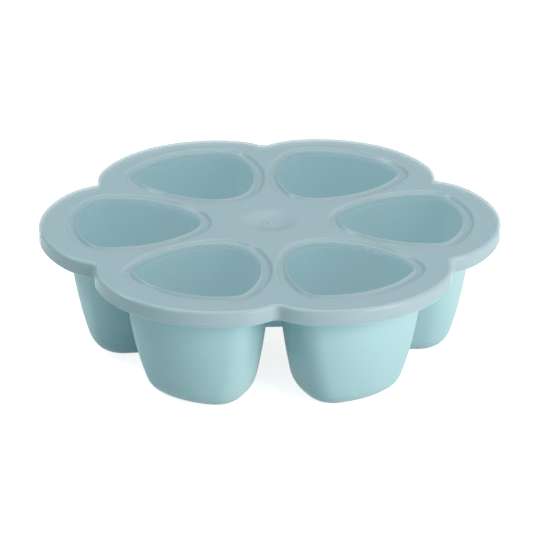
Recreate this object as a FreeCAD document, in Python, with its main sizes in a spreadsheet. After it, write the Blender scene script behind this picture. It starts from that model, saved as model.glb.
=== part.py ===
"""Freezer tray for baby food: six soft cups in a ring, and a lift-off lid.

Two moulded pieces, in millimetres, +Z up.  The origin is on the axis of the ring,
on the plane that the cup bottoms stand on.

The tray is one soft moulding.  Here it is seven solids that meet face to face:

flange  a six-lobed plate with a stiffening rim, a hole for each cup, and a short web
        wherever two cups come close together
cup_1.. the cups, from the plane they stand on up to the top of the flange

lid     one thin moulding: a six-lobed plate with a bevelled edge and a skirt round the
        flange, and over each cup mouth a pressed groove whose underside is the bead
        that closes that cup
"""
import FreeCAD, Part
import math
import os
import Sketcher
from FreeCAD import Vector

os.makedirs("parts", exist_ok=True)
doc = FreeCAD.newDocument("freezer_tray")

# ---------------------------------------------------------------- driving dimensions
SIZES = [
    # name, value, what it is
    ("cup_count", 6, "cups in the ring, and lobes round the edge"),
    ("lobe_tip", 108.3, "lid edge at the tip of a lobe, from the axis"),
    ("lobe_radius", 58.5, "lid edge round the outside of a lobe"),
    ("shoulder_radius", 32.0, "lid edge where a lobe turns in to its neighbour"),
    ("lobe_half_width", 48.3, "widest part of a lobe, from the middle of the lobe"),
    ("notch_radius", 4.0, "rounding in the notch between two lobes, on the lid"),
    ("cup_tip_in", 29.1, "cup wall outside at the mouth, at its end near the axis"),
    ("cup_tip_out", 94.4, "cup wall outside at the mouth, at its end far from the axis"),
    ("cup_apex_radius", 24.0, "cup plan, round end near the axis"),
    ("cup_corner_radius", 20.5, "cup plan, two outer corners"),
    ("cup_outer_radius", 33.2, "cup plan, side far from the axis"),
    ("cup_side_angle", 26.1, "cup plan, degrees from the middle of the cup to its long side"),
    ("cup_shoulder_angle", 15.8, "cup plan, degrees that the outer side turns before it runs straight"),
    ("tray_height", 57.2, "cup bottoms to the top of the flange"),
    ("upright_depth", 18.0, "upper part of a cup's wall, which stands upright"),
    ("lean", 7.0, "how far the wall leans in from there to the base rounding"),
    ("base_rounding_height", 9.9, "outside edge of a cup's base, from where the lean stops"),
    ("base_rounding_width", 10.4, "the same, measured in to the flat that it stands on"),
    ("cup_wall", 2.4, "side wall of a cup"),
    ("cup_floor", 2.6, "bottom of a cup"),
    ("flange_thickness", 2.6, "top plate of the tray"),
    ("rim_depth", 4.7, "stiffening rim of the flange, top to bottom"),
    ("rim_width", 3.0, "stiffening rim, outside to inside"),
    ("web_middle", 55.5, "web between two cups, from the axis"),
    ("web_length", 9.0, "web, along the line between the two cups"),
    ("web_half_width", 5.3, "web, from the line between the cups into their walls"),
    ("web_depth", 24.0, "web, from the top of the flange down"),
    ("lid_thickness", 1.2, "plate and grooves of the lid"),
    ("skirt_wall", 1.2, "skirt of the lid"),
    ("lid_height", 6.8, "lid, from the bottom of its skirt to its top"),
    ("lid_edge_bevel", 1.1, "top edge of the lid"),
    ("lid_clearance", 0.5, "between the skirt and the flange, all round"),
    ("seal_gap", 0.2, "between the lid's beads and the flange"),
    ("groove_margin", 1.6, "outer edge of a groove, outside the cup wall"),
    ("groove_width", 5.0, "groove, at the top of the lid"),
    ("groove_depth", 1.4, "groove, whose walls slope at 45 degrees"),
    ("dish_radius", 15.0, "shallow dish in the middle of the lid"),
    ("dish_floor_radius", 8.0, "flat floor of the dish"),
    ("dish_depth", 0.9, "the dish, at its floor"),
    ("gate_radius", 1.1, "moulding point in the middle of the dish"),
    ("gate_height", 0.5, "moulding point, above the dish"),
]
sheet = doc.addObject("Spreadsheet::Sheet", "sizes")
for row, (name, value, note) in enumerate(SIZES, start=1):
    sheet.set(f"A{row}", name)
    sheet.set(f"B{row}", str(value))
    sheet.set(f"C{row}", note)
    sheet.setAlias(f"B{row}", name)
doc.recompute()

CUP_COUNT = int(sheet.get("cup_count"))
PITCH = 360.0 / CUP_COUNT
OUTER_TURNS = (40, 90)      # sections round a cup's base, in degrees from the wall to the floor
INNER_TURNS = (90,)         # the same inside the cup
TOUCH = 1e-4                # mm, how close counts as on a plane or a line

LID_TOP = "(sizes.tray_height + sizes.seal_gap + sizes.groove_depth + sizes.lid_thickness)"
# A sheet bent to 45 degrees: its two faces are this far apart, measured along the level.
BEND_SHIFT = "(sizes.lid_thickness * (sqrt(2) - 1))"


def measure(expression):
    """The present value of an expression in the sheet's names."""
    return float(sheet.evalExpression(expression))


# ---------------------------------------------------------------- sketch helpers
def new_body(name):
    body = doc.addObject("PartDesign::Body", name)
    body.Label = name
    return body


def new_sketch(body, name, height):
    """A level sketch of the body; height is an expression."""
    sketch = body.newObject("Sketcher::SketchObject", name)
    plane = next(f for f in body.Origin.OriginFeatures if f.Role == "XY_Plane")
    sketch.AttachmentSupport = [(plane, "")]
    sketch.MapMode = "FlatFace"
    sketch.setExpression("AttachmentOffset.Base.z", height)
    return sketch


def bind(sketch, name, constraint, expression):
    """Adds a dimension to the sketch and ties it to the sheet; angles are in degrees."""
    value = measure(expression)
    if constraint[0] == "Angle":
        value = math.radians(value)
    index = sketch.addConstraint(Sketcher.Constraint(*constraint, value))
    sketch.renameConstraint(index, name)
    sketch.setExpression(f"Constraints.{name}", expression)


def add_arc(sketch, centre, radius, start, end):
    circle = Part.Circle(Vector(centre[0], centre[1], 0), Vector(0, 0, 1), radius)
    return sketch.addGeometry(Part.ArcOfCircle(circle, start, end), False)


def add_polygon(sketch, corners):
    """Lines from each corner to the next and back to the first, joined at their ends."""
    first = sketch.GeometryCount
    for start, end in zip(corners, corners[1:] + corners[:1]):
        sketch.addGeometry(Part.LineSegment(start, end), False)
    for i in range(len(corners)):
        following = first + (i + 1) % len(corners)
        sketch.addConstraint(Sketcher.Constraint("Coincident", first + i, 2, following, 1))


def direction(start, end):
    """Angle of the line from one point to another, from 0 to a full turn."""
    return math.atan2(end[1] - start[1], end[0] - start[0]) % (2 * math.pi)


def lobe_sketch(body, name, height, inset):
    """One lobe of the flower outline, closed back to the axis; inset moves it inwards.

    An outer arc, a tighter shoulder each side, and two straight lines to the axis
    that the neighbouring lobes cover.
    """
    sketch = new_sketch(body, name, height)
    inset_now = measure(inset)
    lobe_radius = measure("sizes.lobe_radius")
    shoulder_radius = measure("sizes.shoulder_radius")
    middle = (measure("sizes.lobe_tip - sizes.lobe_radius"), 0.0)
    rise = measure("sizes.lobe_half_width - sizes.shoulder_radius")
    run = math.sqrt((lobe_radius - shoulder_radius) ** 2 - rise ** 2)
    shoulder = (middle[0] + run, rise)
    turn = direction(middle, shoulder)
    r_out = lobe_radius - inset_now
    r_side = shoulder_radius - inset_now

    outer = add_arc(sketch, middle, r_out, -turn, turn)
    left = add_arc(sketch, shoulder, r_side, turn, math.pi / 2)
    right = add_arc(sketch, (shoulder[0], -rise), r_side, -math.pi / 2, -turn)
    top = Vector(shoulder[0], rise + r_side, 0)
    bottom = Vector(shoulder[0], -rise - r_side, 0)
    line_in = sketch.addGeometry(Part.LineSegment(top, Vector(0, 0, 0)), False)
    line_out = sketch.addGeometry(Part.LineSegment(Vector(0, 0, 0), bottom), False)

    add = sketch.addConstraint
    add(Sketcher.Constraint("PointOnObject", outer, 3, -1))
    add(Sketcher.Constraint("Tangent", outer, 2, left, 1))
    add(Sketcher.Constraint("Tangent", right, 2, outer, 1))
    add(Sketcher.Constraint("Equal", left, right))
    add(Sketcher.Constraint("Vertical", left, 3, left, 2))
    add(Sketcher.Constraint("Vertical", right, 3, right, 1))
    add(Sketcher.Constraint("Coincident", left, 2, line_in, 1))
    add(Sketcher.Constraint("Coincident", line_in, 2, -1, 1))
    add(Sketcher.Constraint("Coincident", line_out, 1, -1, 1))
    add(Sketcher.Constraint("Coincident", line_out, 2, right, 1))
    bind(sketch, "middle", ("DistanceX", -1, 1, outer, 3), "sizes.lobe_tip - sizes.lobe_radius")
    bind(sketch, "outside", ("Radius", outer), f"sizes.lobe_radius - {inset}")
    bind(sketch, "shoulder", ("Radius", left), f"sizes.shoulder_radius - {inset}")
    half_width = "sizes.lobe_half_width - sizes.shoulder_radius"
    bind(sketch, "shoulder_up", ("DistanceY", -1, 1, left, 3), half_width)
    bind(sketch, "shoulder_down", ("DistanceY", right, 3, -1, 1), half_width)
    return sketch


def cup_sketch(body, name, height, inset):
    """Plan of a cup, a rounded triangle with its apex towards the axis.

    Round corners with straight sides between them; inset moves the whole outline inwards.
    """
    outer_middle = "(sizes.cup_tip_out - sizes.cup_outer_radius)"
    apex_middle = "(sizes.cup_tip_in + sizes.cup_apex_radius)"

    sketch = new_sketch(body, name, height)
    outer, apex, r_outer, r_corner, r_apex, inset_now = (
        measure(e) for e in (outer_middle, apex_middle, "sizes.cup_outer_radius",
                             "sizes.cup_corner_radius", "sizes.cup_apex_radius", inset))
    # Directions that the two straight sides of the upper half face.
    shoulder_way = math.radians(measure("sizes.cup_shoulder_angle"))
    side_way = math.radians(90 + measure("sizes.cup_side_angle"))
    corner = crossing(shoulder_way, outer * math.cos(shoulder_way) + r_outer - r_corner,
                      side_way, apex * math.cos(side_way) + r_apex - r_corner)
    corner_low = (corner[0], -corner[1])
    full = 2 * math.pi

    arcs = [add_arc(sketch, (outer, 0), r_outer - inset_now, -shoulder_way, shoulder_way),
            add_arc(sketch, corner, r_corner - inset_now, shoulder_way, side_way),
            add_arc(sketch, (apex, 0), r_apex - inset_now, side_way, full - side_way),
            add_arc(sketch, corner_low, r_corner - inset_now, full - side_way, full - shoulder_way)]
    ends = [(sketch.Geometry[arc].StartPoint, sketch.Geometry[arc].EndPoint) for arc in arcs]
    sides = [sketch.addGeometry(Part.LineSegment(this[1], following[0]), False)
             for this, following in zip(ends, ends[1:] + ends[:1])]
    arc_outer, arc_corner, arc_apex, arc_corner_low = arcs

    add = sketch.addConstraint
    for arc, side, following in zip(arcs, sides, arcs[1:] + arcs[:1]):
        add(Sketcher.Constraint("Tangent", arc, 2, side, 1))
        add(Sketcher.Constraint("Tangent", side, 2, following, 1))
    for arc in (arc_outer, arc_apex):
        add(Sketcher.Constraint("Symmetric", arc, 1, arc, 2, -1))
    add(Sketcher.Constraint("Equal", arc_corner, arc_corner_low))
    bind(sketch, "outer_middle", ("DistanceX", -1, 1, arc_outer, 3), outer_middle)
    bind(sketch, "apex_middle", ("DistanceX", -1, 1, arc_apex, 3), apex_middle)
    bind(sketch, "outer", ("Radius", arc_outer), f"sizes.cup_outer_radius - {inset}")
    bind(sketch, "apex", ("Radius", arc_apex), f"sizes.cup_apex_radius - {inset}")
    bind(sketch, "corner", ("Radius", arc_corner), f"sizes.cup_corner_radius - {inset}")
    bind(sketch, "outer_turn", ("Angle", arc_outer), "2 * sizes.cup_shoulder_angle")
    bind(sketch, "apex_turn", ("Angle", arc_apex), "180 - 2 * sizes.cup_side_angle")
    return sketch


def crossing(first_way, first_reach, second_way, second_reach):
    """Where two lines cross, each given by the way it faces and its distance from the origin."""
    span = math.sin(second_way - first_way)
    return ((first_reach * math.sin(second_way) - second_reach * math.sin(first_way)) / span,
            (second_reach * math.cos(first_way) - first_reach * math.cos(second_way)) / span)


# ---------------------------------------------------------------- feature helpers
def repeat(body, feature):
    """Repeats a feature round the axis, once for each cup."""
    pattern = body.newObject("PartDesign::PolarPattern", feature.Name + "_ring")
    pattern.Originals = [feature]
    axis = next(f for f in body.Origin.OriginFeatures if f.Role == "Z_Axis")
    pattern.Axis = (axis, [""])
    pattern.Angle = 360
    pattern.setExpression("Occurrences", "sizes.cup_count")
    body.Tip = pattern
    doc.recompute()
    return pattern


def extrude(body, kind, name, sketch, length, upwards):
    """A Pad or a Pocket of the sketch, by an expression, up or down."""
    feature = body.newObject("PartDesign::" + kind, name)
    feature.Profile = sketch
    feature.setExpression("Length", length)
    feature.Reversed = upwards if kind == "Pocket" else not upwards
    doc.recompute()
    return feature


def loft(body, kind, name, sketches):
    """A stack of straight-sided stages from each sketch to the next."""
    feature = body.newObject("PartDesign::" + kind, name)
    feature.Profile = sketches[0]
    feature.Sections = sketches[1:]
    feature.Ruled = True
    doc.recompute()
    return feature


def finish_edges(body, kind, name, wanted, size):
    """A Fillet or a Chamfer on every edge of the body so far that the test wants."""
    base = body.Tip
    names = [f"Edge{i}" for i, edge in enumerate(base.Shape.Edges, start=1) if wanted(edge)]
    if not names:
        raise RuntimeError(f"{name}: no such edge")
    feature = body.newObject("PartDesign::" + kind, name)
    feature.Base = (base, names)
    feature.setExpression("Radius" if kind == "Fillet" else "Size", size)
    body.Tip = feature
    doc.recompute()
    return feature


def is_level_at(edge, height):
    box = edge.BoundBox
    return abs(box.ZMin - height) < TOUCH and abs(box.ZMax - height) < TOUCH


def is_notch(edge):
    """An upright edge halfway between two cups, out at the edge of the tray."""
    box = edge.BoundBox
    upright = max(box.XLength, box.YLength) < TOUCH < box.ZLength
    if not upright or math.hypot(box.XMin, box.YMin) < measure("sizes.web_middle"):
        return False
    angle = math.degrees(math.atan2(box.YMin, box.XMin)) % PITCH
    return abs(angle - PITCH / 2) < 0.01


# ---------------------------------------------------------------- flange
def cup_sections(body, name, wall, floor, turns):
    """The cross-sections of a cup down its wall and round its base.

    wall and floor say how far inside the outside of the cup this surface is.
    """
    foot = "sizes.base_rounding_height"
    levels = [("sizes.tray_height", wall),
              ("(sizes.tray_height - sizes.upright_depth)", wall),
              (foot, f"({wall} + sizes.lean)")]
    for turn in turns:
        levels.append((f"({floor} + ({foot} - {floor}) * (1 - sin({turn})))",
                       f"({wall} + sizes.lean + (sizes.base_rounding_width - {wall})"
                       f" * (1 - cos({turn})))"))
    return [cup_sketch(body, f"{name}_section_{i}", height, inset)
            for i, (height, inset) in enumerate(levels)]


flange = new_body("flange")
RIM_INSET = "(sizes.skirt_wall + sizes.lid_clearance)"

plate = extrude(flange, "Pad", "plate",
                lobe_sketch(flange, "plate_outline", "sizes.tray_height", RIM_INSET),
                "sizes.rim_depth", upwards=False)
repeat(flange, plate)
finish_edges(flange, "Fillet", "plate_notches", is_notch, f"sizes.notch_radius + {RIM_INSET}")

RIM_INSIDE = f"({RIM_INSET} + sizes.rim_width)"
underside = extrude(flange, "Pocket", "underside",
                    lobe_sketch(flange, "underside_outline",
                                "sizes.tray_height - sizes.rim_depth", RIM_INSIDE),
                    "sizes.rim_depth - sizes.flange_thickness", upwards=True)
repeat(flange, underside)

web_level = "sizes.tray_height - sizes.flange_thickness / 2"
web_sketch = new_sketch(flange, "web_plan", web_level)
turned = FreeCAD.Rotation(Vector(0, 0, 1), PITCH / 2)
web_sketch.AttachmentOffset = FreeCAD.Placement(Vector(), turned)
web_sketch.setExpression("AttachmentOffset.Base.z", web_level)
web_near = measure("sizes.web_middle - sizes.web_length / 2")
web_far = measure("sizes.web_middle + sizes.web_length / 2")
web_side = measure("sizes.web_half_width")
corners = [Vector(web_near, -web_side, 0), Vector(web_far, -web_side, 0),
           Vector(web_far, web_side, 0), Vector(web_near, web_side, 0)]
add_polygon(web_sketch, corners)
for line, kind in ((0, "Horizontal"), (1, "Vertical"), (2, "Horizontal"), (3, "Vertical")):
    web_sketch.addConstraint(Sketcher.Constraint(kind, line))
bind(web_sketch, "near", ("DistanceX", -1, 1, 3, 1), "sizes.web_middle - sizes.web_length / 2")
bind(web_sketch, "length", ("DistanceX", 0, 1, 0, 2), "sizes.web_length")
bind(web_sketch, "below", ("DistanceY", 0, 1, -1, 1), "sizes.web_half_width")
bind(web_sketch, "above", ("DistanceY", -1, 1, 2, 1), "sizes.web_half_width")
web = extrude(flange, "Pad", "web", web_sketch,
              "sizes.web_depth - sizes.flange_thickness / 2", upwards=False)
repeat(flange, web)

# The cups' outside is taken out of the plate and off the ends of the webs.
seat = loft(flange, "SubtractiveLoft", "seat", cup_sections(flange, "seat", "0", "0", OUTER_TURNS))
repeat(flange, seat)

# ---------------------------------------------------------------- cups
cups = []
for i in range(CUP_COUNT):
    cup = new_body(f"cup_{i + 1}")
    loft(cup, "AdditiveLoft", "wall", cup_sections(cup, "wall", "0", "0", OUTER_TURNS))
    loft(cup, "SubtractiveLoft", "cavity",
         cup_sections(cup, "cavity", "sizes.cup_wall", "sizes.cup_floor", INNER_TURNS))
    cup.Placement = FreeCAD.Placement(Vector(), FreeCAD.Rotation(Vector(0, 0, 1), i * PITCH))
    cups.append(cup)

# ---------------------------------------------------------------- lid
lid = new_body("lid")

cap = extrude(lid, "Pad", "cap", lobe_sketch(lid, "cap_outline", LID_TOP, "0"),
              "sizes.lid_height", upwards=False)
repeat(lid, cap)
finish_edges(lid, "Fillet", "cap_notches", is_notch, "sizes.notch_radius")
lid_top = measure(LID_TOP)
finish_edges(lid, "Chamfer", "cap_edge", lambda edge: is_level_at(edge, lid_top),
             "sizes.lid_edge_bevel")

hollow = extrude(lid, "Pocket", "hollow",
                 lobe_sketch(lid, "hollow_outline", f"{LID_TOP} - sizes.lid_height",
                             "sizes.skirt_wall"),
                 "sizes.lid_height - sizes.lid_thickness", upwards=True)
repeat(lid, hollow)
finish_edges(lid, "Fillet", "hollow_notches", is_notch, "sizes.notch_radius + sizes.skirt_wall")

# The groove and its bead, as four plugs with sides at 45 degrees.  Each is lofted between
# two outlines of the cup; its insets count inwards from the outside of the cup wall.
PLATE_BELOW = f"({LID_TOP} - sizes.lid_thickness)"
GROOVE_FLOOR = f"({LID_TOP} - sizes.groove_depth)"
BEAD_BELOW = f"({GROOVE_FLOOR} - sizes.lid_thickness)"
OUTER_TOP = "(-sizes.groove_margin)"
INNER_TOP = "(sizes.groove_width - sizes.groove_margin)"
PLUGS = [
    # name, kind, (height, inset) at one end, (height, inset) at the other
    ("bead", "AdditiveLoft",
     (PLATE_BELOW, f"({OUTER_TOP} - {BEND_SHIFT})"),
     (BEAD_BELOW, f"({OUTER_TOP} - {BEND_SHIFT} + sizes.groove_depth)")),
    ("groove", "SubtractiveLoft",
     (LID_TOP, OUTER_TOP),
     (GROOVE_FLOOR, f"({OUTER_TOP} + sizes.groove_depth)")),
    ("panel", "AdditiveLoft",
     (GROOVE_FLOOR, f"({INNER_TOP} - sizes.groove_depth)"),
     (LID_TOP, INNER_TOP)),
    ("panel_below", "SubtractiveLoft",
     (BEAD_BELOW, f"({INNER_TOP} - sizes.groove_depth + {BEND_SHIFT})"),
     (PLATE_BELOW, f"({INNER_TOP} + {BEND_SHIFT})")),
]
for name, kind, first, second in PLUGS:
    ends = [cup_sketch(lid, f"{name}_end_{i}", height, inset)
            for i, (height, inset) in enumerate((first, second))]
    repeat(lid, loft(lid, kind, name, ends))


def dish_sketch(name, top):
    """Half section of the dish: flat top, sloping side, flat floor, line on the axis."""
    sketch = lid.newObject("Sketcher::SketchObject", name)
    plane = next(f for f in lid.Origin.OriginFeatures if f.Role == "XZ_Plane")
    sketch.AttachmentSupport = [(plane, "")]
    sketch.MapMode = "FlatFace"
    sketch.setExpression("AttachmentOffset.Base.y", top)
    r = measure("sizes.dish_radius")
    r_floor = measure("sizes.dish_floor_radius")
    d = measure("sizes.dish_depth")
    corners = [Vector(0, 0, 0), Vector(r, 0, 0), Vector(r_floor, -d, 0), Vector(0, -d, 0)]
    add_polygon(sketch, corners)
    add = sketch.addConstraint
    add(Sketcher.Constraint("Coincident", 0, 1, -1, 1))
    add(Sketcher.Constraint("Horizontal", 0))
    add(Sketcher.Constraint("Horizontal", 2))
    add(Sketcher.Constraint("Vertical", 3))
    bind(sketch, "radius", ("DistanceX", 0, 1, 0, 2), "sizes.dish_radius")
    bind(sketch, "floor_radius", ("DistanceX", 2, 2, 2, 1), "sizes.dish_floor_radius")
    bind(sketch, "depth", ("DistanceY", 3, 1, 3, 2), "sizes.dish_depth")
    return sketch


def spin(kind, name, sketch):
    feature = lid.newObject("PartDesign::" + kind, name)
    feature.Profile = sketch
    feature.ReferenceAxis = (sketch, ["V_Axis"])
    feature.Angle = 360
    lid.Tip = feature
    doc.recompute()
    return feature


spin("Revolution", "dish_below", dish_sketch("dish_below_section", PLATE_BELOW))
spin("Groove", "dish", dish_sketch("dish_section", LID_TOP))

gate_sketch = new_sketch(lid, "gate_plan", f"{LID_TOP} - sizes.dish_depth - sizes.lid_thickness / 2")
gate_sketch.addGeometry(Part.Circle(Vector(0, 0, 0), Vector(0, 0, 1), measure("sizes.gate_radius")),
                        False)
gate_sketch.addConstraint(Sketcher.Constraint("Coincident", 0, 3, -1, 1))
bind(gate_sketch, "gate", ("Radius", 0), "sizes.gate_radius")
gate = extrude(lid, "Pad", "gate", gate_sketch,
               "sizes.gate_height + sizes.lid_thickness / 2", upwards=True)

# ---------------------------------------------------------------- check and write
doc.recompute()
for thing in doc.Objects:
    if "Invalid" in thing.State or "Error" in thing.State:
        raise RuntimeError(f"{thing.Name}: {thing.State}")
for body in (flange, *cups, lid):
    shape = body.Shape
    if shape.isNull() or not shape.isValid() or len(shape.Solids) != 1:
        raise RuntimeError(f"{body.Label}: not one valid solid")
    shape.exportStep(f"parts/{body.Label}.step")
    box = shape.BoundBox
    print(f"{body.Label}: {shape.Volume / 1000:.1f} cm3, x {box.XMin:.2f} to {box.XMax:.2f}, "
          f"y {box.YMin:.2f} to {box.YMax:.2f}, z {box.ZMin:.2f} to {box.ZMax:.2f}")
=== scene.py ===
import math

import bmesh
import bpy
from mathutils import Matrix, Vector


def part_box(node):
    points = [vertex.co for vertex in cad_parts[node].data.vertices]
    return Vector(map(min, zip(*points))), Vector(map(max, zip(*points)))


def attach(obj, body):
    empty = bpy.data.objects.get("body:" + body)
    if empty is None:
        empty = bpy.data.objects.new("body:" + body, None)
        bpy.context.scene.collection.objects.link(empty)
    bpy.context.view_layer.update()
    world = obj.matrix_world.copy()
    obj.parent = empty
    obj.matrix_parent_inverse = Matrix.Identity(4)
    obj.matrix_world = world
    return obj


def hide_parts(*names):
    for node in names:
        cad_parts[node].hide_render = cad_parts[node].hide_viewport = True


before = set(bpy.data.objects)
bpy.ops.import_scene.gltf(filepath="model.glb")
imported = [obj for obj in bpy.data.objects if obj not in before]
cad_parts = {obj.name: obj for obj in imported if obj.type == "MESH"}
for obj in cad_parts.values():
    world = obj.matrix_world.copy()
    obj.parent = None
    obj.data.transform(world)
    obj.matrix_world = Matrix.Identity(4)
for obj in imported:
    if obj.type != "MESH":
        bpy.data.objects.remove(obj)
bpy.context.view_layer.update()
perMetre = 1000   # pieces are modelled in millimetres and scaled down when they are finished
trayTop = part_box("flange")[1].z * perMetre
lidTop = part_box("lid")[1].z * perMetre
cupCount = 6
weldReach = 0.01      # points this near to each other are one
levelReach = 0.001    # points this near to a height are on it
levelNormal = 0.9999  # faces whose normal stands this upright are level
print("frame loaded,", len(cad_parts), "nodes, tray top", round(trayTop, 2),
      "lid top", round(lidTop, 2))

lobeOutline = {
    "tip": 108.3,
    "radius": 58.5,
    "shoulderRadius": 32,
    "halfWidth": 48.3,
    "notchRadius": 4,
    "outerSteps": 32,
    "shoulderSteps": 16,
    "notchSteps": 8,
}

cupOutline = {
    "tipIn": 28.8,
    "tipOut": 94.2,
    "halfWidth": 32.3,
    "apexRadius": 20,
    "sideRadius": 52,
    "cornerRadius": 13,
    "outerRadius": 47.5,
    "outerSteps": 20,
    "cornerSteps": 14,
    "sideSteps": 12,
    "apexSteps": 20,
}

traySize = {
    "height": trayTop,
    "flangeThickness": 2.6,
    "rimDepth": 4.7,
    "rimWidth": 3.0,
    "rimInset": 1.7,
    "rimRounding": 0.3,
    "beadWidth": 1.0,
    "beadDrop": 0.3,
    "beadGap": 0.15,
    "wall": 2.4,
    "floor": 2.6,
    "mouthRounding": 0.7,
    "mouthSteps": 4,
    "mouthDrop": 0.01,
    "leanIn": 5.0,
    "leanOut": 10.4,
    "leanSide": 10.2,
    "straightShare": 0.1,
    "baseRounding": 7.6,
    "wallLevels": 14,
    "roundLevels": 7,
    "webMiddle": 55.5,
    "webLength": 9,
    "webTopThickness": 7.0,
    "webThickness": 9.8,
    "webDepth": 24,
    "sharpAngle": math.radians(35),
}

lidSize = {
    "top": lidTop,
    "height": 6.8,
    "wall": 1.2,
    "edgeRounding": 1.6,
    "edgeSteps": 6,
    "hemRounding": 0.2,
    "innerRounding": 0.4,
    "grooveMargin": 1.6,
    "grooveWidth": 5.0,
    "grooveSlope": 1.5,
    "grooveDepth": 1.4,
    "grooveSteps": 5,
    "support": 0.25,
    "crown": 0.02,
    "dishRadius": 14,
    "dishFloorRadius": 4.5,
    "dishDepth": 1.4,
    "dishSteps": 10,
    "dishPoints": 64,
    "gateRadius": 1.1,
    "gateMargin": 1.3,
    "gateHeight": 0.5,
    "gateRings": ((1.0, 0.15), (0.9, 0.8), (0.7, 1.0)),   # shares of its radius and its height
    # the pads take a copy of the lid's material whose colour is darker and more teal, painted shade
    # of the hollow cups beneath
    "padPaintedShadeSlot": 1,
    # the skirt takes a copy of the lid's material whose colour is a little lighter, painted light
    # on its sides
    "skirtPaintedLightSlot": 2,
    "sharpAngle": math.radians(40),
}


def heading(fromPoint, toPoint):
    way = toPoint - fromPoint
    return math.atan2(way.y, way.x) % math.tau


# an outline is a chain of arcs: (centre x, centre y, radius, from angle, to angle, steps)
def lobeArcs(inset):
    # one lobe, from its shoulder through its tip to the far end of the notch after it
    o = lobeOutline
    middle = Vector((o["tip"] - o["radius"], 0))
    rise = o["halfWidth"] - o["shoulderRadius"]
    reach = o["radius"] - o["shoulderRadius"]
    shoulder = middle + Vector((math.sqrt(reach ** 2 - rise ** 2), rise))
    turn = heading(middle, shoulder)
    half = math.pi / cupCount
    halfLine = Vector((math.cos(half), math.sin(half)))
    # the notch's own centre lies on the line between two lobes
    along = shoulder.dot(halfLine)
    aside = math.sqrt(shoulder.length_squared - along ** 2)
    apart = o["shoulderRadius"] + o["notchRadius"]
    notch = halfLine * (along + math.sqrt(apart ** 2 - aside ** 2))
    leave = heading(shoulder, notch)
    shoulderRadius = o["shoulderRadius"] - inset
    return [
        (shoulder.x, -shoulder.y, shoulderRadius, -leave, -turn, o["shoulderSteps"]),
        (middle.x, 0, o["radius"] - inset, -turn, turn, o["outerSteps"]),
        (shoulder.x, shoulder.y, shoulderRadius, turn, leave, o["shoulderSteps"]),
        (notch.x, notch.y, o["notchRadius"] + inset, leave + math.pi,
         2 * half - leave + math.pi, o["notchSteps"]),
    ]


def cupArcs(inset, leanIn=0.0, leanOut=0.0, leanSide=0.0):
    # a whole cup, from its outer corner round through its inner tip
    o = cupOutline
    shrink = leanSide / 2
    apexRadius = o["apexRadius"] - shrink
    sideRadius = o["sideRadius"] - shrink
    outerRadius = o["outerRadius"] - shrink
    cornerRadius = o["cornerRadius"]
    apex = Vector((o["tipIn"] + leanIn + apexRadius, 0))
    outer = Vector((o["tipOut"] - leanOut - outerRadius, 0))
    drop = sideRadius - (o["halfWidth"] - leanSide)
    side = Vector((apex.x + math.sqrt((sideRadius - apexRadius) ** 2 - drop ** 2), -drop))
    # the corner touches the long side and the outer side from within
    toSide = sideRadius - cornerRadius
    toOuter = outerRadius - cornerRadius
    apart = (outer - side).length
    along = (toSide ** 2 - toOuter ** 2 + apart ** 2) / (2 * apart)
    way = (outer - side) / apart
    corner = side + way * along + Vector((way.y, -way.x)) * math.sqrt(toSide ** 2 - along ** 2)
    outerTurn = heading(outer, corner)
    sideTurn = heading(side, corner)
    apexTurn = heading(side, apex)
    full = math.tau
    return [
        (outer.x, 0, outerRadius - inset, -outerTurn, outerTurn, o["outerSteps"]),
        (corner.x, corner.y, cornerRadius - inset, outerTurn, sideTurn, o["cornerSteps"]),
        (side.x, side.y, sideRadius - inset, sideTurn, apexTurn, o["sideSteps"]),
        (apex.x, 0, apexRadius - inset, apexTurn, full - apexTurn, o["apexSteps"]),
        (side.x, -side.y, sideRadius - inset, full - apexTurn, full - sideTurn, o["sideSteps"]),
        (corner.x, -corner.y, cornerRadius - inset, full - sideTurn, full - outerTurn,
         o["cornerSteps"]),
    ]


def traceArcs(bm, arcs, height, closed=True):
    # the last point is spun round each arc's centre in turn; a closed line is welded at its start
    x, y, radius, fromAngle = arcs[0][:4]
    across = radius * math.cos(fromAngle)
    aside = radius * math.sin(fromAngle)
    start = bm.verts.new((x + across, y + aside, height))
    point = start
    for x, y, radius, fromAngle, toAngle, steps in arcs:
        spun = bmesh.ops.spin(bm, geom=[point], cent=(x, y, height), axis=(0, 0, 1),
                              angle=toAngle - fromAngle, steps=steps, use_merge=False)
        point = next(g for g in spun["geom_last"] if isinstance(g, bmesh.types.BMVert))
    if closed:
        bmesh.ops.weld_verts(bm, targetmap={point: start})
        point = start
    edges = [start.link_edges[0]]
    vert = edges[0].other_vert(start)
    while vert != point:
        edges.append(next(e for e in vert.link_edges if e != edges[-1]))
        vert = edges[-1].other_vert(vert)
    return edges


def circleLoop(bm, radius, height, steps):
    made = bmesh.ops.create_circle(bm, cap_ends=False, radius=radius, segments=steps,
                                   matrix=Matrix.Translation((0, 0, height)))
    return list({e for v in made["verts"] for e in v.link_edges})


def stackLoops(bm, loops, materialSlot=0):
    # two neighbouring loops at the same height may come out twisted, so callers keep them apart
    for upper, lower in zip(loops, loops[1:]):
        for face in bmesh.ops.bridge_loops(bm, edges=upper + lower)["faces"]:
            face.material_index = materialSlot


def repeatRound(bm):
    # what is there so far, once more for each of the other cups
    others = cupCount - 1
    bmesh.ops.spin(bm, geom=bm.verts[:] + bm.edges[:] + bm.faces[:], cent=(0, 0, 0),
                   axis=(0, 0, 1), angle=math.tau / cupCount * others, steps=others,
                   use_duplicate=True)
    bmesh.ops.remove_doubles(bm, verts=[v for v in bm.verts if v.is_boundary], dist=weldReach)


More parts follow.
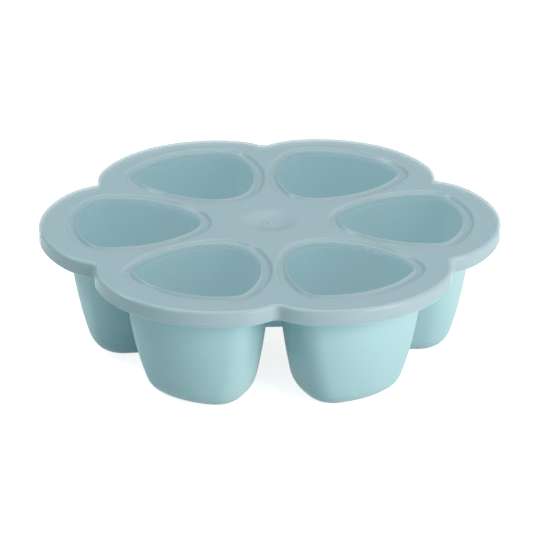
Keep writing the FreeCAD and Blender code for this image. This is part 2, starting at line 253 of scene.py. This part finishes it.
def fillFlat(bm, edges, materialSlot=0):
    filled = bmesh.ops.triangle_fill(bm, edges=edges, use_beauty=True, normal=(0, 0, 1))
    for face in filled["geom"]:
        if isinstance(face, bmesh.types.BMFace):
            face.material_index = materialSlot


def openEdges(bm, height):
    return [e for e in bm.edges if len(e.link_faces) < 2
            and all(abs(v.co.z - height) < levelReach for v in e.verts)]


def addToScene(name, data):
    thing = bpy.data.objects.new(name, data)
    bpy.context.scene.collection.objects.link(thing)
    return thing


def finishPiece(bm, name, body, nodes, sharpAngle):
    bmesh.ops.scale(bm, verts=bm.verts, vec=[1 / perMetre] * 3)
    for face in bm.faces:
        # level faces stay plain, so that nothing shades across them
        face.smooth = abs(face.normal.z) < levelNormal
    for edge in bm.edges:
        edge.smooth = len(edge.link_faces) == 2 and edge.calc_face_angle() < sharpAngle
    mesh = bpy.data.meshes.new(name)
    bm.to_mesh(mesh)
    bm.free()
    piece = addToScene(name, mesh)
    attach(piece, body)
    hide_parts(*nodes)
    print(name, len(mesh.polygons), "faces")
    return piece


def leanAt(height):
    # how far the wall has come in at its inner tip, its outer side and its flanks
    t = traySize
    down = 1 - height / t["height"]
    share = t["straightShare"] * down + (1 - t["straightShare"]) * down ** 2
    return t["leanIn"] * share, t["leanOut"] * share, t["leanSide"] * share


def cupLevels(top, floor, inset):
    # heights and insets of the rings of points, down the wall and then round the base
    t = traySize
    rounding = t["baseRounding"] - inset
    bottom = floor + rounding
    levels = []
    for i in range(t["wallLevels"] + 1):
        levels.append((top + (bottom - top) * i / t["wallLevels"], inset))
    for i in range(1, t["roundLevels"] + 1):
        turn = math.pi / 2 * i / t["roundLevels"]
        levels.append((bottom - rounding * math.sin(turn), inset + rounding * (1 - math.cos(turn))))
    return levels


def mouthLevels():
    # the rounded lip of a cup's mouth, with a small drop between its first two rings
    t = traySize
    top = t["height"]
    r = t["mouthRounding"]
    levels = [(top, t["wall"] - 2 * r)]
    for i in range(t["mouthSteps"]):
        turn = math.pi / 2 * i / t["mouthSteps"]
        levels.append((top - t["mouthDrop"] - r * (1 - math.cos(turn)),
                       t["wall"] - r * (1 - math.sin(turn))))
    return levels


def addCupSkin(bm, levels):
    loops = [traceArcs(bm, cupArcs(inset, *leanAt(height)), height) for height, inset in levels]
    stackLoops(bm, loops)
    fillFlat(bm, loops[-1])


def addLobeEdge(bm, profile, materialSlot=0):
    loops = [traceArcs(bm, lobeArcs(inset), height, closed=False) for inset, height in profile]
    stackLoops(bm, loops, materialSlot)


def addWeb(bm, angle):
    # tapers upwards, so that it ends inside the walls of both cups
    t = traySize
    depth = t["webDepth"] - t["flangeThickness"] / 2
    web = bmesh.ops.create_cube(bm, size=1)["verts"]
    bmesh.ops.scale(bm, verts=web, vec=(t["webLength"], t["webThickness"], depth))
    bmesh.ops.scale(bm, verts=[v for v in web if v.co.z > 0],
                    vec=(1, t["webTopThickness"] / t["webThickness"], 1))
    bmesh.ops.translate(bm, verts=web,
                        vec=(t["webMiddle"], 0, t["height"] - t["webDepth"] + depth / 2))
    bmesh.ops.rotate(bm, verts=web, cent=(0, 0, 0), matrix=Matrix.Rotation(angle, 3, "Z"))


def buildTray():
    t = traySize
    bm = bmesh.new()
    top = t["height"]
    under = top - t["flangeThickness"]
    addCupSkin(bm, mouthLevels() + cupLevels(top - t["mouthRounding"], t["floor"], t["wall"]))
    addCupSkin(bm, cupLevels(under, 0.0, 0.0))
    edge = t["rimInset"]
    inner = edge + t["rimWidth"]
    c = t["rimRounding"]
    # a small bead runs round the rim, just below the lid's skirt
    bead = edge - t["beadWidth"]
    beadTop = lidTop - lidSize["height"] - t["beadGap"]
    beadBottom = top - t["rimDepth"] - t["beadDrop"]
    addLobeEdge(bm, [
        (edge + 2 * c, top), (edge + c / 2, top), (edge, top - c / 2), (edge, beadTop),
        (bead + c, beadTop), (bead, beadTop - c), (bead, beadBottom + c), (bead + c, beadBottom),
        (inner, beadBottom), (inner, under),
    ])
    repeatRound(bm)
    fillFlat(bm, openEdges(bm, top))
    fillFlat(bm, openEdges(bm, under))
    bmesh.ops.recalc_face_normals(bm, faces=bm.faces)
    for cup in range(cupCount):
        addWeb(bm, (cup + 0.5) * math.tau / cupCount)
    nodes = ["flange"] + [f"cup_{cup + 1}" for cup in range(cupCount)]
    return finishPiece(bm, "traySkin", "tray", nodes, t["sharpAngle"])


def softFall(share, depth):
    # eases in and out, and stays clear of both levels by the crown
    s = lidSize
    return s["crown"] + (depth - 2 * s["crown"]) * share ** 2 * (3 - 2 * share)


def grooveProfile(spread):
    # (distance in from the groove's outer edge, depth), soft at each lip
    s = lidSize
    down = []
    for i in range(s["grooveSteps"] + 1):
        share = i / s["grooveSteps"]
        down.append((s["grooveSlope"] * share - spread, softFall(share, s["grooveDepth"])))
    up = [(s["grooveWidth"] - across, depth) for across, depth in reversed(down)]
    rim = s["support"] + spread
    middle = [(s["grooveWidth"] / 2, s["grooveDepth"])]
    return [(-rim, 0.0)] + down + middle + up + [(s["grooveWidth"] + rim, 0.0)]


def addGroove(bm, level, spread):
    # a groove round one cup, and the flat pad inside it
    s = lidSize
    loops = [traceArcs(bm, cupArcs(across - s["grooveMargin"]), level - depth)
             for across, depth in grooveProfile(spread)]
    stackLoops(bm, loops)
    # the pad's faces take the material with painted shade
    fillFlat(bm, loops[-1], s["padPaintedShadeSlot"])


def addDish(bm, level, gate):
    s = lidSize
    slope = s["dishRadius"] - s["dishFloorRadius"]
    rings = [(s["dishRadius"] + s["support"], 0.0)]
    for i in range(s["dishSteps"] + 1):
        share = i / s["dishSteps"]
        rings.append((s["dishRadius"] - slope * share, softFall(share, s["dishDepth"])))
    rings.append((s["gateRadius"] * s["gateMargin"], s["dishDepth"]))
    if gate:
        for width, lift in s["gateRings"]:
            rings.append((s["gateRadius"] * width, s["dishDepth"] - s["gateHeight"] * lift))
    loops = [circleLoop(bm, radius, level - fall, s["dishPoints"]) for radius, fall in rings]
    stackLoops(bm, loops)
    fillFlat(bm, loops[-1])


def lidEdge(top, below):
    # (inset, height) over the rounded edge, down the skirt, round its hem and up inside
    s = lidSize
    r = s["edgeRounding"]
    wall = s["wall"]
    hem = s["hemRounding"]
    corner = s["innerRounding"]
    bottom = top - s["height"]
    edge = [(r + s["support"], top)]
    for i in range(s["edgeSteps"] + 1):
        turn = math.pi / 2 * i / s["edgeSteps"]
        edge.append((r * (1 - math.sin(turn)), top - r * (1 - math.cos(turn))))
    return edge + [
        (0.0, bottom + hem), (hem, bottom), (wall - hem, bottom), (wall, bottom + hem),
        (wall, below - corner), (wall + corner, below), (wall + 2 * corner, below),
    ]


def buildLid():
    s = lidSize
    top = s["top"]
    below = top - s["wall"]
    bm = bmesh.new()
    addGroove(bm, top, 0.0)
    # the underside's groove is wider, which keeps the wall about even round its slopes
    addGroove(bm, below, s["wall"] * (math.sqrt(2) - 1))
    # the skirt's faces take the material with painted light
    addLobeEdge(bm, lidEdge(top, below), s["skirtPaintedLightSlot"])
    repeatRound(bm)
    addDish(bm, top, True)
    addDish(bm, below, False)
    fillFlat(bm, openEdges(bm, top))
    fillFlat(bm, openEdges(bm, below))
    bmesh.ops.recalc_face_normals(bm, faces=bm.faces)
    return finishPiece(bm, "lidSkin", "lid", ["lid"], s["sharpAngle"])


siliconeLook = {
    "pale": (0.45, 0.69, 0.72, 1),
    "deep": (0.41, 0.65, 0.69, 1),
    "roughness": (0.42, 0.55),
    "alpha": 1.0,
    "cloudScale": 30,
    "cloudDetail": 3,
    "grainScale": 900,
    "grainDetail": 2,
    "bump": 0.05,
    "bumpDistance": 0.0002,
    "softness": 0.3,
    "softRadius": (0.3, 0.8, 1.0),
    "softScale": 0.006,
}
lidLook = dict(
    siliconeLook,
    pale=(0.58, 0.69, 0.74, 1),
    deep=(0.54, 0.66, 0.71, 1),
    roughness=(0.18, 0.28),
    alpha=0.5,
    cloudScale=25,
    grainScale=1400,
    bump=0.06,
    softness=0.0,
)
# painted shade: the pad's colour is darker and more teal than the lid's, standing in for the shaded
# hollow cup beneath; its lower alpha lets the cup show through
padPaintedShadeLook = dict(lidLook, pale=(0.45, 0.66, 0.72, 1), deep=(0.41, 0.62, 0.68, 1), alpha=0.38)
# painted light: the skirt's colour is a little lighter and more teal than the lid's, making up for
# the light its sides get; its higher alpha is the thicker plastic seen edge-on
skirtPaintedLightLook = dict(lidLook, pale=(0.56, 0.71, 0.76, 1), deep=(0.52, 0.67, 0.72, 1), alpha=0.6)


def addNoise(tree, place, scale, detail):
    noise = tree.nodes.new("ShaderNodeTexNoise")
    noise.inputs["Scale"].default_value = scale
    noise.inputs["Detail"].default_value = detail
    tree.links.new(place.outputs["Object"], noise.inputs["Vector"])
    return noise.outputs["Fac"]


def moulded(name, look):
    material = bpy.data.materials.new(name)
    material.use_nodes = True
    tree = material.node_tree
    nodes = tree.nodes
    links = tree.links
    shader = nodes["Principled BSDF"]
    place = nodes.new("ShaderNodeTexCoord")
    cloud = addNoise(tree, place, look["cloudScale"], look["cloudDetail"])
    tint = nodes.new("ShaderNodeMix")
    tint.data_type = "RGBA"
    tint.inputs["A"].default_value = look["pale"]
    tint.inputs["B"].default_value = look["deep"]
    links.new(cloud, tint.inputs["Factor"])
    links.new(tint.outputs["Result"], shader.inputs["Base Color"])
    grain = addNoise(tree, place, look["grainScale"], look["grainDetail"])
    shine = nodes.new("ShaderNodeMapRange")
    shine.inputs["To Min"].default_value, shine.inputs["To Max"].default_value = look["roughness"]
    links.new(grain, shine.inputs["Value"])
    links.new(shine.outputs["Result"], shader.inputs["Roughness"])
    bump = nodes.new("ShaderNodeBump")
    bump.inputs["Strength"].default_value = look["bump"]
    bump.inputs["Distance"].default_value = look["bumpDistance"]
    links.new(grain, bump.inputs["Height"])
    links.new(bump.outputs["Normal"], shader.inputs["Normal"])
    shader.inputs["Alpha"].default_value = look["alpha"]
    shader.inputs["Subsurface Weight"].default_value = look["softness"]
    shader.inputs["Subsurface Radius"].default_value = look["softRadius"]
    shader.inputs["Subsurface Scale"].default_value = look["softScale"]
    return material


setting = {
    "floorSize": 6,
    "floorColor": (0.6, 0.6, 0.6, 1),
    "floorRoughness": 0.9,
    "floorLift": 0.85,
    "floorDrop": 0.0001,
    "worldColor": (0.66, 1.0, 1.06, 1),
    "worldStrength": 0.33,
    "lightAim": (0, 0, 0.03),
    "keyPower": 19.5,
    "keySize": 0.9,
    "keyPlace": (1.05, -0.98, 0.55),
    "keyColor": (1.0, 0.90, 0.87),
    "topPower": 9.5,
    "topSize": 1.0,
    "topPlace": (0.0, 0.5, 1.5),
    "topColor": (1.0, 0.93, 0.90),
    "glintPower": 3.0,
    "glintSize": 0.22,
    "glintPlace": (-0.85, 0.25, 0.83),
    "glintColor": (1.0, 1.0, 1.0),
}

cameraSetup = {
    "azimuth": math.radians(-1.89),
    "elevation": math.radians(24.37),
    "distance": 1.625,
    "aim": (0, 0, 0.0345),
    "focalPixels": 3446,
    "imagePixels": 540,
    "sensorWidth": 36,
}


def aimAt(thing, way):
    # cameras and lamps look along their own -Z
    thing.rotation_euler = way.to_track_quat("-Z", "Y").to_euler()


def addMath(tree, operation, first, second):
    # second is a socket or a number
    node = tree.nodes.new("ShaderNodeMath")
    node.operation = operation
    tree.links.new(first, node.inputs[0])
    if isinstance(second, float):
        node.inputs[1].default_value = second
    else:
        tree.links.new(second, node.inputs[1])
    return node.outputs[0]


def buildFloor():
    bm = bmesh.new()
    bmesh.ops.create_grid(bm, x_segments=1, y_segments=1, size=setting["floorSize"],
                          matrix=Matrix.Translation((0, 0, -setting["floorDrop"])))
    mesh = bpy.data.meshes.new("floor")
    bm.to_mesh(mesh)
    bm.free()
    floor = addToScene("floor", mesh)
    material = bpy.data.materials.new("paleFloor")
    material.use_nodes = True
    tree = material.node_tree
    shader = tree.nodes["Principled BSDF"]
    shader.inputs["Base Color"].default_value = setting["floorColor"]
    shader.inputs["Roughness"].default_value = setting["floorRoughness"]
    shader.inputs["Specular IOR Level"].default_value = 0.0
    # what is seen of the floor, directly or in the part, is lifted to white, and its shadow stays
    path = tree.nodes.new("ShaderNodeLightPath")
    seen = path.outputs["Is Camera Ray"]
    for ray in ("Is Glossy Ray", "Is Transmission Ray"):
        seen = addMath(tree, "MAXIMUM", seen, path.outputs[ray])
    lift = addMath(tree, "MULTIPLY", seen, setting["floorLift"])
    shader.inputs["Emission Color"].default_value = (1, 1, 1, 1)
    tree.links.new(lift, shader.inputs["Emission Strength"])
    mesh.materials.append(material)


def addAreaLight(kind):
    data = bpy.data.lights.new(kind + "Light", "AREA")
    data.color = setting[kind + "Color"]
    data.energy = setting[kind + "Power"]
    data.size = setting[kind + "Size"]
    light = addToScene(kind + "Light", data)
    light.location = setting[kind + "Place"]
    aimAt(light, Vector(setting["lightAim"]) - Vector(setting[kind + "Place"]))


def buildCamera():
    c = cameraSetup
    data = bpy.data.cameras.new("camera")
    data.sensor_width = c["sensorWidth"]
    data.lens = c["sensorWidth"] * c["focalPixels"] / c["imagePixels"]
    camera = addToScene("camera", data)
    a = c["azimuth"]
    e = c["elevation"]
    back = Vector((math.sin(a) * math.cos(e), -math.cos(a) * math.cos(e), math.sin(e)))
    camera.location = Vector(c["aim"]) + back * c["distance"]
    aimAt(camera, -back)
    bpy.context.scene.camera = camera


def buildWorld():
    world = bpy.data.worlds.new("studio")
    world.use_nodes = True
    background = world.node_tree.nodes["Background"]
    background.inputs["Color"].default_value = setting["worldColor"]
    background.inputs["Strength"].default_value = setting["worldStrength"]
    bpy.context.scene.world = world


tray = buildTray()
lid = buildLid()
tray.data.materials.append(moulded("softSilicone", siliconeLook))
# the pad and skirt materials carry painted shade and painted light on the lid's colour
for name, look in (("frostedLid", lidLook), ("frostedPadPaintedShade", padPaintedShadeLook), ("frostedSkirtPaintedLight", skirtPaintedLightLook)):
    lid.data.materials.append(moulded(name, look))
print("materials on")

buildFloor()
for kind in ("key", "top", "glint"):
    addAreaLight(kind)
buildCamera()
buildWorld()
bpy.context.scene.view_settings.view_transform = "Standard"
print("stage set")
